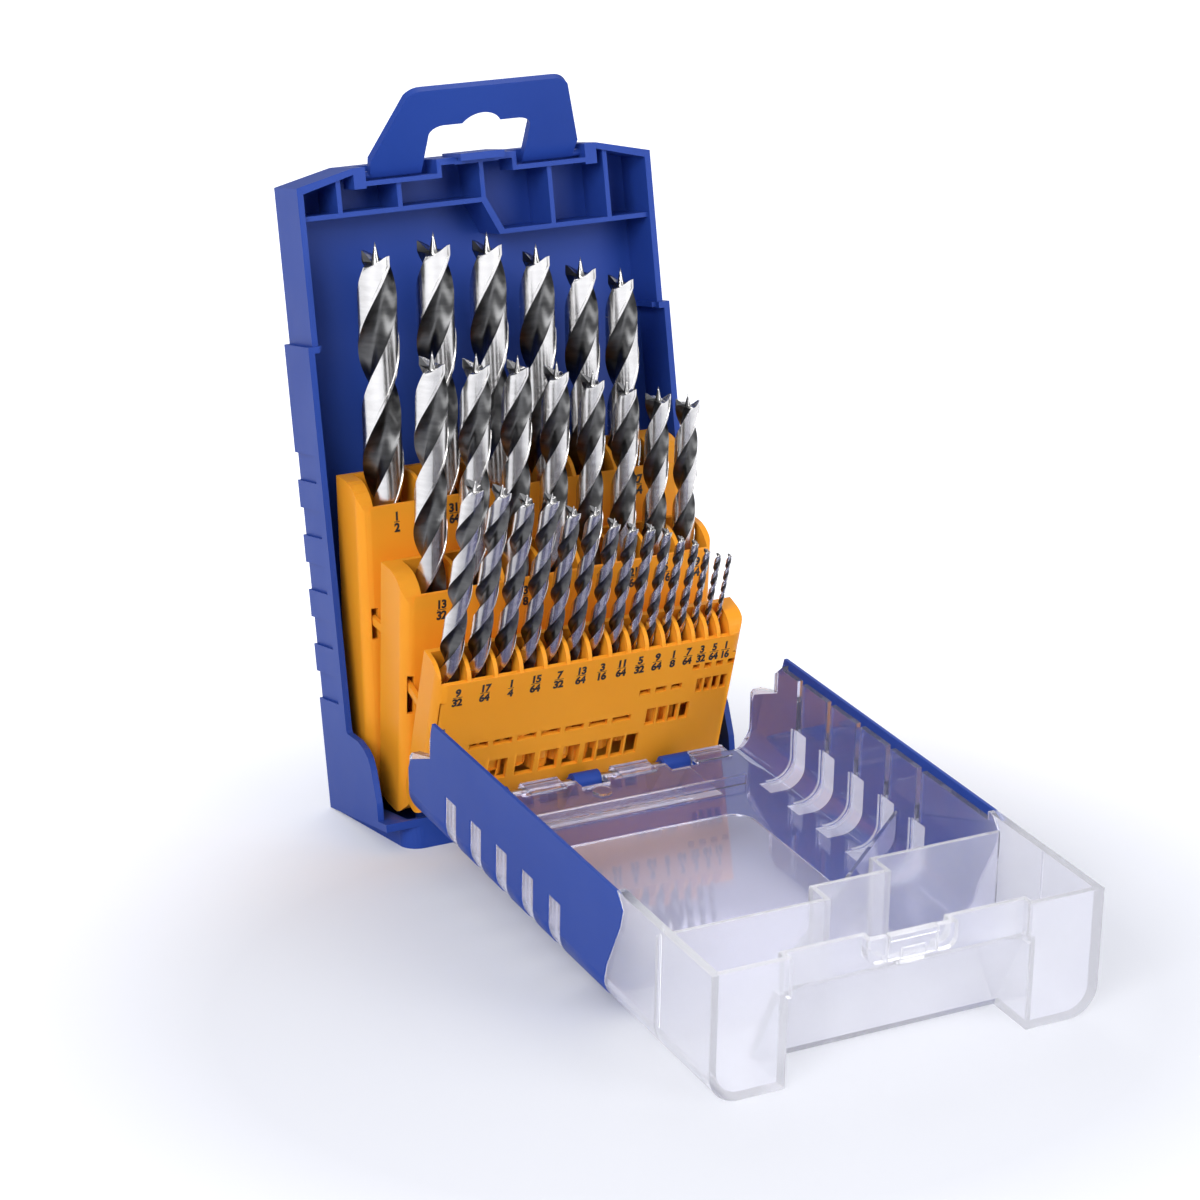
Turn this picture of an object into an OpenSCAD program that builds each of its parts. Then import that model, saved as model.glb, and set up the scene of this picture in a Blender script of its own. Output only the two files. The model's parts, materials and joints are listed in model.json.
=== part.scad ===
// Drill bit case: a back shell with a carrying handle, three fanning bit
// trays and a clear drop-front lid. Drawn open, standing on a table.
// Table frame: +X to the right, +Y to the back, +Z up, origin under the
// middle of the open case.

/* [Shell] */
// Height of the back shell at its flat top
shell_h = 200.3; // [190:0.1:210]
// How much lower the outer top corners of the back shell are
corner_drop = 4.3; // [2.3:0.1:8.3]
// Half of the flat stretch of the top edge
flat_half = 41.5; // [38:0.5:46]
// Half width of the upper part, above the step
upper_half = 60.4; // [58:0.1:61]
// Half width of the lower part, which takes the lid between its ears
lower_half = 62.2; // [61.5:0.1:64]
// Height of the step between the two widths
step_h = 147.5; // [140:0.5:155]
// Depth of the upper rim from the back plane
rim_d = 19.2; // [17:0.1:20]
// Wall thickness of the moulded shell
wall = 2; // [1.6:0.1:2.4]
// Depth of the foot that the case stands on
foot_d = 46.4; // [42:0.2:50]
// How far the front of the foot is lower than the back edge
foot_drop = 7; // [5:0.5:8]
// Height of the lip along the front of the foot
lip_top = 2.4; // [1:0.1:3]

/* [Lid] */
// Clearance between the lid's rails and the ears of the shell, each side
lid_gap = 0.33; // [0.3:0.01:0.6]
// How far the closed lid's walls stop in front of the shell's rim
rim_gap = 1.5; // [1:0.1:2]
// Radius of the lid's long bottom corners
lid_r = 9; // [6:0.5:12]
// Thickness of the coloured skin on the lid
skin = 1.2; // [0.8:0.1:1.4]
// Thickness of the clear walls
clear_wall = 1.8; // [1.4:0.1:2.2]
// Depth of the lid's hinge axis in front of the back plane
hinge_d = 58.2; // [56:0.1:60]
// Height of the lid's hinge axis along the shell
hinge_u = 7.3; // [6.5:0.1:8.5]

/* [Trays] */
// Forward lean of the rear tray when the case is open
rear_lean = 8.5; // [6:0.5:10]
// Forward lean of the middle tray when the case is open
mid_lean = 14.5; // [12:0.5:16]
// Forward lean of the front tray when the case is open
front_lean = 29; // [26:0.5:31]
// Thickness of the tray walls
tray_wall = 1.6; // [1.2:0.1:2]
// Clearance around each bit in its socket, on the radius
socket_gap = 0.15; // [0.1:0.05:0.3]

/* [Handle] */
// Forward lean of the handle from the shell, as it stands in use
handle_lean = 36; // [0:1:60]
// Height of the handle above its hinge axis
handle_h = 31; // [28:0.5:34]
// Thickness of the handle
handle_t = 2.5; // [2:0.1:3]

/* [Hidden] */
$fn = 48;

blue = [0.17, 0.26, 0.62];
orange = [0.98, 0.62, 0.12];
steel = [0.72, 0.72, 0.74];
dark_steel = [0.34, 0.34, 0.36];
clear = [0.88, 0.88, 0.94, 0.4];

// How the case stands: the shell leans back on its foot, and the lid lies
// with its far end on the table.
shell_lean = atan(foot_drop / foot_d);
lid_reach = shell_h - hinge_u - 1.35;
lid_h = hinge_d - rim_d - rim_gap;
rail_half = lower_half - wall - lid_gap;
lid_half = rail_half - 0.32;
corner_h = shell_h - corner_drop;
foot_y = -hinge_d * cos(shell_lean) + hinge_u * sin(shell_lean);
hinge_z = hinge_d * sin(shell_lean) + hinge_u * cos(shell_lean);
lid_tilt = asin(hinge_z / lid_reach);
tab_h = lid_h + 0.3;
tab_ridge = 0.9;
front_reach = -foot_y + (lid_reach + tab_ridge) * cos(lid_tilt) + tab_h * sin(lid_tilt);
back_reach = shell_h * sin(shell_lean);
shell_y = (front_reach - back_reach) / 2;
hinge_y = shell_y + foot_y;

// Trays: [depth and height of the hinge axis, lean, thickness, half width,
// height at the front, height at the back].
rear = [11.5, 8, rear_lean, 18, lower_half - 6.2, 92, 98.7];
mid = [29.75, 8, mid_lean, 17.5, lower_half - 9.2, 68.5, 74];
front = [45, 9, front_lean, 12, lower_half - 10.2, 49.6, 55];
rod_r = 1.5;
rod_gap = 0.05;
rod_half = front[4] - 5;
lug_x = front[4] - 9;
hub_x = front[4] - 15;
lug_t = 4;
well_depth = 15;
web = 1.3;

// Bits, largest first: [size in 64ths of an inch, length, height of the tip].
// The lengths are those of short twist drills of the same size.
inch = 25.4;
rear_bits = [
    [32, 6, 172.5], [31, 5.875, 173.5], [30, 5.75, 171.5],
    [29, 5.625, 166], [28, 5.5, 160], [27, 5.375, 155]
];
mid_bits = [
    [26, 5.25, 143], [25, 5.125, 140.5], [24, 5, 138], [23, 4.875, 134.5],
    [22, 4.75, 130], [21, 4.625, 125.5], [20, 4.5, 121.5], [19, 4.375, 118]
];
front_bits = [
    [18, 4.25, 117.5], [17, 4.125, 114.5], [16, 4, 109.5], [15, 3.875, 108.5],
    [14, 3.75, 102.5], [13, 3.625, 101], [12, 3.5, 95.5], [11, 3.25, 92.5],
    [10, 3.125, 91], [9, 2.875, 88.5], [8, 2.75, 84.5], [7, 2.625, 82],
    [6, 2.25, 78], [5, 2, 75.5], [4, 1.875, 74.5]
];

// Sockets get closer as the bits get thinner: first place, first gap, last gap,
// as shares of the tray's half width.
rear_row = [-43.8, 19.2, 13.9] * (rear[4] / 56);
mid_row = [-40.5, 14.4, 10.4] * (mid[4] / 53);
front_row = [-46, 9, 4] * (front[4] / 52);

function row_x(row, n, i) =
    row[0] + i * row[1] - (row[1] - row[2]) / (n - 2) * i * (i - 1) / 2;
function bit_r(b) = b[0] / 64 * inch / 2;
function bit_len(b) = b[1] * inch;
function bit_floor(b) = b[2] - bit_len(b);
function arc(cx, cy, r, a0, a1, n) =
    [for (i = [0:n]) let (a = a0 + (a1 - a0) * i / n) [cx + r * cos(a), cy + r * sin(a)]];

// ---- frames of the moving groups -------------------------------------------

module in_shell() {
    translate([0, shell_y, 0]) rotate([-shell_lean, 0, 0]) children();
}

// Lid frame: y = 23 at the hinge axis, z = 0 on the outer face of the floor.
hinge_lid_y = 23;
far_y = hinge_lid_y - lid_reach;

module in_lid() {
    translate([0, hinge_y, hinge_z]) rotate([lid_tilt, 0, 0])
        translate([0, -hinge_lid_y, 0]) children();
}

module in_tray(t) {
    in_shell() translate([0, -t[0], t[1]]) rotate([t[2], 0, 0]) children();
}

// Extrudes an outline drawn in (y, z) along X, centred.
module along_x(w) {
    rotate([90, 0, 90]) translate([0, 0, -w / 2]) linear_extrude(w) children();
}

// Extrudes an outline drawn in (x, z) towards -Y.
module along_y(w) {
    rotate([90, 0, 0]) linear_extrude(w) children();
}

module both_sides() {
    children();
    mirror([1, 0, 0]) children();
}

module rod_x(r, half) {
    rotate([0, 90, 0]) cylinder(r = r, h = 2 * half, center = true);
}

// ---- back shell ------------------------------------------------------------

pocket_in = 13.6;
pocket_out = 37.5;
pocket_floor = shell_h - 4.4;
pocket_back = rim_d - 8.7;
handle_v = rim_d - 4.7;
handle_u = shell_h - 2.8;
stub_r = 1.2;
stub_half = 40;
boss_half = 41.5;
ear_d = 40.2;
ear_h = 27;
groove_pitch = 17.37;
groove_w = 8.7;
groove_low = 35.5;
left_shelf = shell_h - 14.8;
right_shelf = shell_h - 24.7;
rib_t = 1.5;

module shell_outline(inset) {
    polygon([
        [-lower_half + inset, -foot_drop], [lower_half - inset, -foot_drop],
        [lower_half - inset, step_h - inset], [upper_half - inset, step_h - inset],
        [upper_half - inset, corner_h - inset], [flat_half, shell_h - inset],
        [-flat_half, shell_h - inset], [-upper_half + inset, corner_h - inset],
        [-upper_half + inset, step_h - inset], [-lower_half + inset, step_h - inset]
    ]);
}

// Side view of the shell: rim, ear and foot, as (y, u) with y = -depth.
module shell_side() {
    polygon([
        [0, 0], [-foot_d, -foot_drop], [-foot_d, lip_top], [-40, lip_top],
        [-ear_d, 8], [-38.2, 18], [-36.6, 21.6], [-33.6, 24], [-29.3, 25.8],
        [-21, ear_h], [-20.4, ear_h + 1], [-20.4, step_h], [-rim_d, step_h],
        [-rim_d, shell_h], [0, shell_h]
    ]);
}

module foot_plan() {
    r = 6;
    polygon(concat(
        [[-lower_half + 0.5, 0], [lower_half - 0.5, 0]],
        arc(lower_half - 6 - r, -foot_d + r, r, 0, -90, 8),
        arc(-lower_half + 6 + r, -foot_d + r, r, -90, -180, 8)
    ));
}

module shell_block(inset) {
    intersection() {
        along_y(foot_d + 1) shell_outline(inset);
        along_x(140) shell_side();
    }
}

// Everything below the ears follows the tapered foot.
module shell_body() {
    intersection() {
        shell_block(0);
        union() {
            translate([-70, -60, -0.001]) cube([140, 60, 300]);
            translate([0, 0, -10]) linear_extrude(20) foot_plan();
        }
    }
}

module shell_hollow() {
    // The main hollow, open to the front above the foot
    intersection() {
        along_y(foot_d + 2) shell_outline(wall);
        translate([-70, -foot_d - 5, lip_top]) cube([140, foot_d + 5 - wall, 300]);
    }
    // The hollow of the foot, which follows its sloping floor
    along_x(2 * (lower_half - 8))
        polygon([[-wall, 1.7], [-foot_d + wall, -foot_drop + wall],
                 [-foot_d + wall, lip_top + 1], [-wall, lip_top + 1]]);
}

module handle_pocket() {
    translate([pocket_in, -rim_d - 3, pocket_floor]) cube([pocket_out - pocket_in, rim_d + 3 - pocket_back, 10]);
}

module pocket_walls() {
    translate([pocket_in - rib_t, -rim_d, pocket_floor - rib_t])
        cube([pocket_out - pocket_in + 2 * rib_t, rim_d - pocket_back + rib_t, shell_h - pocket_floor + rib_t]);
    translate([pocket_out, -rim_d, pocket_floor - 2.2])
        cube([boss_half - pocket_out, 9, shell_h - pocket_floor + 2.2]);
}

// Centre lip over the rim; its nib holds the ridge of the lid's latch tab.
module latch_lip() {
    translate([-7.5, -rim_d - 5.1, shell_h - 0.1]) cube([15, 14.3, 1.2]);
    translate([-7.5, -rim_d - 5.1, shell_h - 1.15]) cube([15, 2, 1.4]);
    translate([-7.5, -rim_d, shell_h - 2.3]) cube([15, 9, 2.5]);
}

module shelves() {
    d = rim_d - 1.5 - 1;
    translate([-upper_half + 1, -rim_d + 1.5, left_shelf]) cube([upper_half + 1.7, d, rib_t]);
    translate([6.6, -rim_d + 1.5, right_shelf - rib_t / 2]) cube([upper_half - 7.6, d, rib_t]);
    translate([0, -1, 0]) along_y(d)
        polygon([[1.2, left_shelf], [2.7, left_shelf + rib_t], [8.1, right_shelf + rib_t / 2],
                 [7.6, right_shelf - rib_t / 2], [6.4, right_shelf - rib_t / 2]]);
    translate([1.2, -rim_d + 1.5, left_shelf]) cube([rib_t, d, shell_h - 1 - left_shelf]);
    for (x = [-47, -27]) translate([x, -rim_d + 1.5, left_shelf]) cube([rib_t, d, 20]);
    for (x = [24.5, 44.2]) translate([x, -rim_d + 1.5, right_shelf]) cube([rib_t, d, 30]);
}

module grip_grooves() {
    for (i = [0:4]) translate([lower_half - 1, -16, groove_low + i * groove_pitch]) cube([2, 17, groove_w]);
}

module tray_lugs(t, foot_u) {
    for (x = [-lug_x, lug_x]) {
        translate([x - lug_t / 2, 0, 0]) {
            translate([0, -t[0] - 1.5, foot_u]) cube([lug_t, 3, t[1] - foot_u]);
            translate([0, -t[0], t[1]]) rotate([0, 90, 0]) cylinder(r = 3.4, h = lug_t);
        }
    }
}

// Lugs that carry the lid's hinge pin in front of the foot.
shell_lugs = [-31, 0, 31];
shell_lug_w = 9;
barrel_r = 2.8;
pin_r = 1.25;

module lid_lugs() {
    for (x = shell_lugs) {
        translate([x - shell_lug_w / 2, 0, 0]) {
            along_lug() polygon([[-foot_d + 1, -4.5], [-foot_d + 1, lip_top], [-hinge_d, hinge_u + barrel_r],
                                 [-hinge_d - 0.5, hinge_u - barrel_r], [-50, -3.5]]);
            translate([0, -hinge_d, hinge_u]) rotate([0, 90, 0]) cylinder(r = barrel_r, h = shell_lug_w);
        }
    }
}

module along_lug() {
    rotate([90, 0, 90]) linear_extrude(shell_lug_w) children();
}

module back_shell() {
    color(blue) in_shell() difference() {
        union() {
            difference() {
                shell_body();
                shell_hollow();
            }
            intersection() {
                union() {
                    both_sides() pocket_walls();
                    shelves();
                }
                shell_block(0.5);
            }
            latch_lip();
            tray_lugs(rear, 0);
            tray_lugs(mid, -3);
            tray_lugs(front, lip_top - 1);
            lid_lugs();
            // Ledge inside the step
            both_sides() translate([upper_half - 3.4, -rim_d + 1, step_h - 1.6]) cube([4.6, rim_d - 2, 1.6]);
        }
        both_sides() handle_pocket();
        both_sides() grip_grooves();
        both_sides() translate([pocket_out - 1, -handle_v, handle_u]) rotate([0, 90, 0])
            cylinder(r = stub_r + rod_gap, h = stub_half + 1.3 - pocket_out);
        for (t = [rear, mid, front]) translate([0, -t[0], t[1]]) rod_x(rod_r + 0.02, lug_x + lug_t);
        translate([0, -hinge_d, hinge_u]) rod_x(pin_r + rod_gap, 40);
    }
}

// ---- handle ----------------------------------------------------------------

leg_in = 14;
leg_out = 34.6;
// Radius of the top corners of the finger opening
opening_r = 3.5;

module handle_outline() {
    difference() {
        polygon(concat(
            [[-leg_out, 0], [leg_out, 0], [35.4, 6]],
            arc(22.5, handle_h - 6, 6, 35, 90, 6),
            arc(-22.5, handle_h - 6, 6, 90, 145, 6),
            [[-35.4, 6]]
        ));
        translate([-leg_in, -1]) square([2 * leg_in, 11]);
        translate([-leg_in + 3, 0]) square([2 * leg_in - 6, 14]);
        for (x = [-leg_in + opening_r, leg_in - opening_r]) translate([x, 10.5]) circle(r = opening_r);
        translate([0, 10.5]) circle(r = 7);
    }
}

module handle() {
    color(blue) in_shell() translate([0, -handle_v, handle_u]) rotate([handle_lean, 0, 0]) {
        translate([0, handle_t / 2, 0]) along_y(handle_t) handle_outline();
        both_sides() translate([leg_in, 0, 0]) rotate([0, 90, 0])
            cylinder(r = handle_t / 2, h = leg_out - leg_in);
        both_sides() translate([leg_out - 1, 0, 0]) rotate([0, 90, 0])
            cylinder(r = stub_r, h = stub_half - leg_out + 1);
    }
}

// ---- trays -----------------------------------------------------------------

// Side outline of a tray as (y, h): round bottom edges and a top that falls
// in a convex curve from the back to the front.
module tray_side(t, r) {
    half = t[3] / 2;
    bow = t[3] * 0.62;
    low = -4.5;
    polygon(concat(
        arc(half - r, low + r, r, -90, 0, 6),
        [[half, t[6]]],
        arc(-half + bow, t[6] - bow, bow, 90, 180 - 8, 8),
        [[-half, t[5]]],
        arc(-half + r, low + r, r, 180, 270, 6)
    ));
}

// Front wall stands lower than the curved webs and cheeks.
module tray_front_cut(t, x0, x1) {
    half = t[3] / 2;
    translate([x0, -half - 1, t[5]]) cube([x1 - x0, tray_wall + 1.001, 20]);
}

module tray_cavity(t) {
    half = t[3] / 2 - tray_wall;
    top = t[5] - well_depth - tray_wall;
    translate([-t[4] + tray_wall, -half, -10]) cube([2 * (t[4] - tray_wall), 2 * half, top + 10]);
}

module tray_wells(t, row, bits) {
    n = len(bits);
    half = t[3] / 2 - tray_wall;
    for (i = [0:n - 1]) {
        x = row_x(row, n, i);
        left = i == 0 ? x - bit_r(bits[0]) - 1 : (x + row_x(row, n, i - 1)) / 2 + web / 2;
        right = i == n - 1 ? x + bit_r(bits[n - 1]) + 1 : (x + row_x(row, n, i + 1)) / 2 - web / 2;
        translate([left, -half, t[5] - well_depth]) cube([right - left, 2 * half, 40]);
        tray_front_cut(t, left, right);
    }
}

module tray_sockets(t, row, bits) {
    n = len(bits);
    for (i = [0:n - 1]) {
        b = bits[i];
        translate([row_x(row, n, i), 0, bit_floor(b) - 1.5])
            cylinder(r = min(bit_r(b) + 1.3, t[3] / 2 - 0.3), h = t[5] - well_depth - bit_floor(b) + 1);
    }
}

module tray_bores(t, row, bits) {
    n = len(bits);
    for (i = [0:n - 1]) {
        b = bits[i];
        translate([row_x(row, n, i), 0, bit_floor(b)]) cylinder(r = bit_r(b) + socket_gap, h = 200);
    }
}

module tray_hubs(t) {
    half = t[3] / 2 - tray_wall + 0.5;
    for (x = [-hub_x, hub_x]) translate([x - 1.5, -half, -3]) cube([3, 2 * half, 9]);
}

module tray(t, row, bits, edge_r) {
    difference() {
        union() {
            difference() {
                along_x(2 * t[4]) tray_side(t, edge_r);
                tray_cavity(t);
                tray_wells(t, row, bits);
            }
            intersection() {
                union() {
                    tray_sockets(t, row, bits);
                    tray_hubs(t);
                }
                along_x(2 * t[4] - 1) tray_side(t, edge_r);
            }
        }
        tray_bores(t, row, bits);
        rod_x(rod_r + rod_gap, rod_half + 1);
    }
}

// Prongs on the back of a tray run in tall slots of the tray behind it, so
// the trays pull each other open. The front tray has one, on the left, because
// the last socket of the middle tray fills its right end.
prong_t = 1.4;
prong_h = 2.6;
mid_prong = [mid[4], 52, 7.5];
front_prong = [mid[4] - tray_wall - 0.4, 31, 12];

module prong(t, p) {
    translate([-p[0], t[3] / 2 - 0.5, p[1] - prong_h / 2]) cube([prong_t, p[2] + 0.5, prong_h]);
}

module prong_slot(t, p, h0, h1) {
    translate([-p[0] - 0.4, -t[3] / 2 - 1, h0]) cube([prong_t + 0.8, tray_wall + 1.5, h1 - h0]);
}

module window(t, x0, x1, h0, h1) {
    translate([x0, -t[3] / 2 - 1, h0]) cube([x1 - x0, tray_wall + 2, h1 - h0]);
}

module rear_tray() {
    color(orange) in_tray(rear) difference() {
        tray(rear, rear_row, rear_bits, 6);
        both_sides() prong_slot(rear, mid_prong, 50, 60);
    }
}

module mid_tray() {
    color(orange) in_tray(mid) {
        difference() {
            tray(mid, mid_row, mid_bits, 6);
            prong_slot(mid, front_prong, 30, 42.5);
        }
        both_sides() prong(mid, mid_prong);
    }
}

// Openings that show how deep each bit stands: [left, right, bottom, top].
front_windows = [
    [-31, -27, 9, 17.5], [-22, -18, 9, 17.5], [-14, -10, 9, 17.5], [-6.5, -2.5, 9, 17.5],
    [1, 5.5, 9, 17.5], [7, 11.5, 9, 17.5], [13, 17.5, 9, 17.5],
    [18.5, 23, 19, 28], [24, 28, 19, 28], [29, 33.5, 19, 28],
    [34.5, 37.5, 29.5, 36.5], [38.5, 41, 29.5, 36.5], [42, 44.5, 29.5, 36.5]
];
slit_rows = [[-41, 7.2, 8, 23.8, 3.8], [12.5, 5.4, 3, 32.4, 3.2], [28.8, 4.2, 4, 38.6, 2.2]];

module front_tray() {
    color(orange) in_tray(front) {
        difference() {
            tray(front, front_row, front_bits, 5.9);
            for (w = front_windows) window(front, w[0], w[1], w[2], w[3]);
            for (s = slit_rows, i = [0:s[2] - 1])
                window(front, s[0] + i * s[1], s[0] + i * s[1] + s[4], s[3], s[3] + 1.5);
        }
        prong(front, front_prong);
    }
}

module rear_rod() {
    color(steel) in_shell() translate([0, -rear[0], rear[1]]) rod_x(rod_r, rod_half);
}

module mid_rod() {
    color(steel) in_shell() translate([0, -mid[0], mid[1]]) rod_x(rod_r, rod_half);
}

module front_rod() {
    color(steel) in_shell() translate([0, -front[0], front[1]]) rod_x(rod_r, rod_half);
}

// ---- lid -------------------------------------------------------------------

// Cross section of the lid as (x, z): a wide tray with round bottom corners.
module lid_section(half, low, r) {
    translate([-half, low + r]) square([2 * half, 60]);
    translate([-half + r, low]) square([2 * half - 2 * r, r + 1]);
    for (x = [-half + r, half - r]) translate([x, low + r]) circle(r = r);
}

// Side view of the lid as (y, z), with the stepped rear edge of its walls.
module lid_side(z_low) {
    polygon([
        [20, z_low], [20, 2], [21.5, 4], [21.5, 20], [20, 21.7], [6.7, 25.6], [6.7, 31.9],
        [2.2, 35.8], [0.3, lid_h], [far_y, lid_h], [far_y, z_low]
    ]);
}

finger_half = 37;
finger_z = 26;
finger_y = far_y + 16.45;
recess_in = 13.7;
recess_out = 36;
recess_d = 3.3;
// The folded handle's bar passes below this height on the end wall
bar_z = 30;

// The far end leans in between two corner feet, which leaves room for fingers
// under the folded handle.
module finger_space(grow) {
    along_x(2 * (finger_half + grow))
        polygon([
            [far_y - 5, finger_z + grow / 2], [far_y + recess_d + grow, finger_z + grow / 2],
            [finger_y + grow, -1], [finger_y + grow, -5], [far_y - 5, -5]
        ]);
}

// Recess that takes the folded handle. The pillar that stays in the middle has
// round bottom corners, inside the round corners of the handle's opening.
module pillar_plan(half, low) {
    r = opening_r - 0.3;
    translate([-half, low + r]) square([2 * half, 40]);
    translate([-half + r, low]) square([2 * (half - r), r + 1]);
    for (x = [-half + r, half - r]) translate([x, low + r]) circle(r = r);
}

module leg_recess(grow) {
    translate([0, far_y + recess_d + grow, 0]) along_y(recess_d + grow + 5) difference() {
        translate([-recess_out - grow, finger_z - 2]) square([2 * (recess_out + grow), 30]);
        pillar_plan(recess_in - grow, bar_z + grow);
    }
}

slot_w = 7.4;
slot_first = -5.1;
tab_half = 7.4;
tab_neck = 4;
tab_z = 29;
tab_t = 1.8;
neck_t = 1.2;

module skin_side() {
    polygon([
        [20, -1], [20, 2], [21.5, 6.6], [22, 15.7], [20.5, 19.4], [6.1, 25.5], [5.7, 33.9],
        [0.3, 50], [-115.4, 50], [-115.4, lid_h], [-117.4, 35.6], [-119.3, 33.4],
        [-117.8, 27.7], [-110.3, 13.1], [-109, 8], [-107.5, 3], [-106, -1]
    ]);
}

module window_plan(grow) {
    r = 7;
    half = 32.4 - grow;
    translate([0, -20 - grow - r]) {
        for (x = [-half + r, half - r]) translate([x, 0]) circle(r = r);
        translate([-half + r, -r]) square([2 * half - 2 * r, 2 * r]);
        translate([-half, -100]) square([2 * half, 100]);
    }
    translate([-half, -7 + grow]) square([2 * half, 40]);
}

module skin_space(half, low, r) {
    intersection() {
        translate([0, 22.5, 0]) along_y(150) lid_section(half, low, r);
        along_x(140) skin_side();
    }
}

module grip_slots(depth) {
    for (i = [0:4]) {
        y = slot_first - i * groove_pitch;
        both_sides() translate([rail_half - depth, y - slot_w, -1]) cube([depth + 1, slot_w, 19]);
        both_sides() translate([47.5, y - slot_w, -1]) cube([20, slot_w, 3.6]);
    }
}

module skin_shape() {
    difference() {
        skin_space(rail_half, 0, lid_r);
        translate([0, 30, 0]) along_y(170) lid_section(rail_half - skin, skin, lid_r - skin);
        translate([0, 0, -1]) linear_extrude(4) window_plan(0);
    }
}

module lid_overlay() {
    color(blue) in_lid() difference() {
        skin_shape();
        grip_slots(14);
        translate([-70, -200, lid_h]) cube([140, 300, 30]);
        hinge_notches(0.3);
    }
}

// Notches in the rear edge of the floor for the shell's hinge lugs.
module hinge_notches(gap) {
    for (x = shell_lugs)
        translate([x - shell_lug_w / 2 - gap, 15, -5]) cube([shell_lug_w + 2 * gap, 20, 12]);
}

stair = [[-57, -7.5, -137], [-7.5, 16, -129], [16, 57.5, -121]];
stair_h = 34;
stair_t = 1.4;
// Inner walls start just above the coloured skin, inside the clear floor
rib_low = skin + 0.1;

module stair_walls() {
    h = stair_h - rib_low;
    for (s = stair) translate([s[0], s[2] - stair_t / 2, rib_low]) cube([s[1] - s[0], stair_t, h]);
    for (k = [1, 2]) translate([stair[k][0] - stair_t / 2, stair[k - 1][2] - stair_t / 2, rib_low])
        cube([stair_t, stair[k][2] - stair[k - 1][2] + stair_t, h]);
    // Low diagonal web from the right wall to the stair
    translate([0, 0, rib_low]) linear_extrude(17 - rib_low)
        polygon([[57.5, -66], [57.5, -67.4], [-20, -137], [-22, -137]]);
}

module floor_rib() {
    translate([-50, -4, rib_low]) cube([92, stair_t, 5 - rib_low]);
    translate([-1, 9, rib_low]) cylinder(r = 3, h = 2.8 - rib_low);
}

knuckle_w = 12;
lid_knuckles = [-42, -15.5, 15.5, 42];

module knuckles() {
    for (x = lid_knuckles) translate([x - knuckle_w / 2, 0, 0]) {
        translate([0, hinge_lid_y, 0]) rotate([0, 90, 0]) cylinder(r = barrel_r, h = knuckle_w);
        translate([0, 16, skin]) cube([knuckle_w, 7, 1.4]);
    }
}

module lid_cavity() {
    inner = rail_half - skin - clear_wall;
    difference() {
        translate([0, 30, 0]) along_y(30 - far_y - 2) lid_section(inner, skin + clear_wall - 1, lid_r - skin - 1);
        finger_space(2);
        leg_recess(1.6);
    }
}

module lid_shell() {
    color(clear) in_lid() difference() {
        union() {
            difference() {
                intersection() {
                    translate([0, 22, 0]) along_y(22 - far_y) lid_section(lid_half, 0, lid_r);
                    along_x(140) lid_side(0);
                }
                lid_cavity();
                skin_cut();
            }
            intersection() {
                union() {
                    stair_walls();
                    floor_rib();
                }
                translate([0, 22, 0]) along_y(22 - far_y)
                    lid_section(rail_half - rib_low, rib_low, lid_r - rib_low);
            }
            knuckles();
        }
        finger_space(0);
        difference() {
            leg_recess(0);
            tab_seat();
        }
        hinge_notches(0.3);
        translate([-tab_half - 0.3, far_y - 1, bar_z - 0.1]) cube([2 * tab_half + 0.6, 5.9, 20]);
        translate([0, far_y + tab_t / 2, tab_z]) rod_x(tab_t / 2 + rod_gap, tab_half + 0.3);
        translate([0, hinge_lid_y, 0]) rod_x(pin_r + 0.02, 60);
    }
}

// The coloured skin sits in a shallow step of the clear moulding.
module skin_cut() {
    difference() {
        skin_space(rail_half + 1, -1, lid_r + 1);
        translate([0, 30, 0]) along_y(170) lid_section(rail_half - skin, skin, lid_r - skin);
        translate([0, 0, -2]) linear_extrude(5) window_plan(0);
        grip_slots(14);
    }
}

// Seat behind the thin neck on which the latch tab flexes.
module tab_seat() {
    translate([-tab_neck, far_y + tab_t / 2, tab_z - tab_t / 2])
        cube([2 * tab_neck, recess_d, tab_t / 2 + neck_t / 2]);
}

module latch_tab() {
    color(clear) in_lid() {
        translate([-tab_half, far_y, bar_z + 0.2]) cube([2 * tab_half, tab_t, tab_h - bar_z - 0.2]);
        translate([-tab_neck, far_y + (tab_t - neck_t) / 2, tab_z]) cube([2 * tab_neck, neck_t, 2]);
        translate([0, far_y + tab_t / 2, tab_z]) rod_x(tab_t / 2, tab_neck);
        translate([-tab_half, far_y - tab_ridge, tab_h - 1.5]) cube([2 * tab_half, 1.4, 1.5]);
        translate([-3.5, far_y - 0.8, bar_z + 0.6]) cube([7, 1.4, 3]);
    }
}

module lid_hinge_pin() {
    color(steel) in_lid() translate([0, hinge_lid_y, 0]) rod_x(pin_r, rod_half);
}

// ---- bits ------------------------------------------------------------------

// Section of a two-fluted bit: two lands on the full diameter.
module flute_section(r) {
    land = [-40, -14, 14, 40];
    polygon([for (side = [0, 180], k = [0:4])
        k < 4 ? [r * cos(side + land[k]), r * sin(side + land[k])]
              : [0.42 * r * cos(side + 90), 0.42 * r * sin(side + 90)]]);
}

// A brad point bit standing on its shank end, z = 0 at the bottom. The flutes
// start just inside the shank.
root = 0.5;

module drill_bit(b) {
    r = bit_r(b);
    tip = 1.1 * r;
    body = bit_len(b) - tip;
    flutes = min(body - 8, 26 + 6.6 * 2 * r);
    turns = flutes / (5.2 * 2 * r);
    slices = b[0] > 12 ? 16 : 12;
    color(steel) cylinder(r = r, h = body - flutes);
    color(dark_steel) translate([0, 0, body - flutes - root])
        linear_extrude(flutes + root, twist = -360 * turns, slices = slices, segments = 10)
            flute_section(r - 0.02);
    color(steel) translate([0, 0, body - 0.3]) cylinder(r1 = 0.3 * r, r2 = 0.06 * r, h = tip + 0.3);
}

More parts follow.
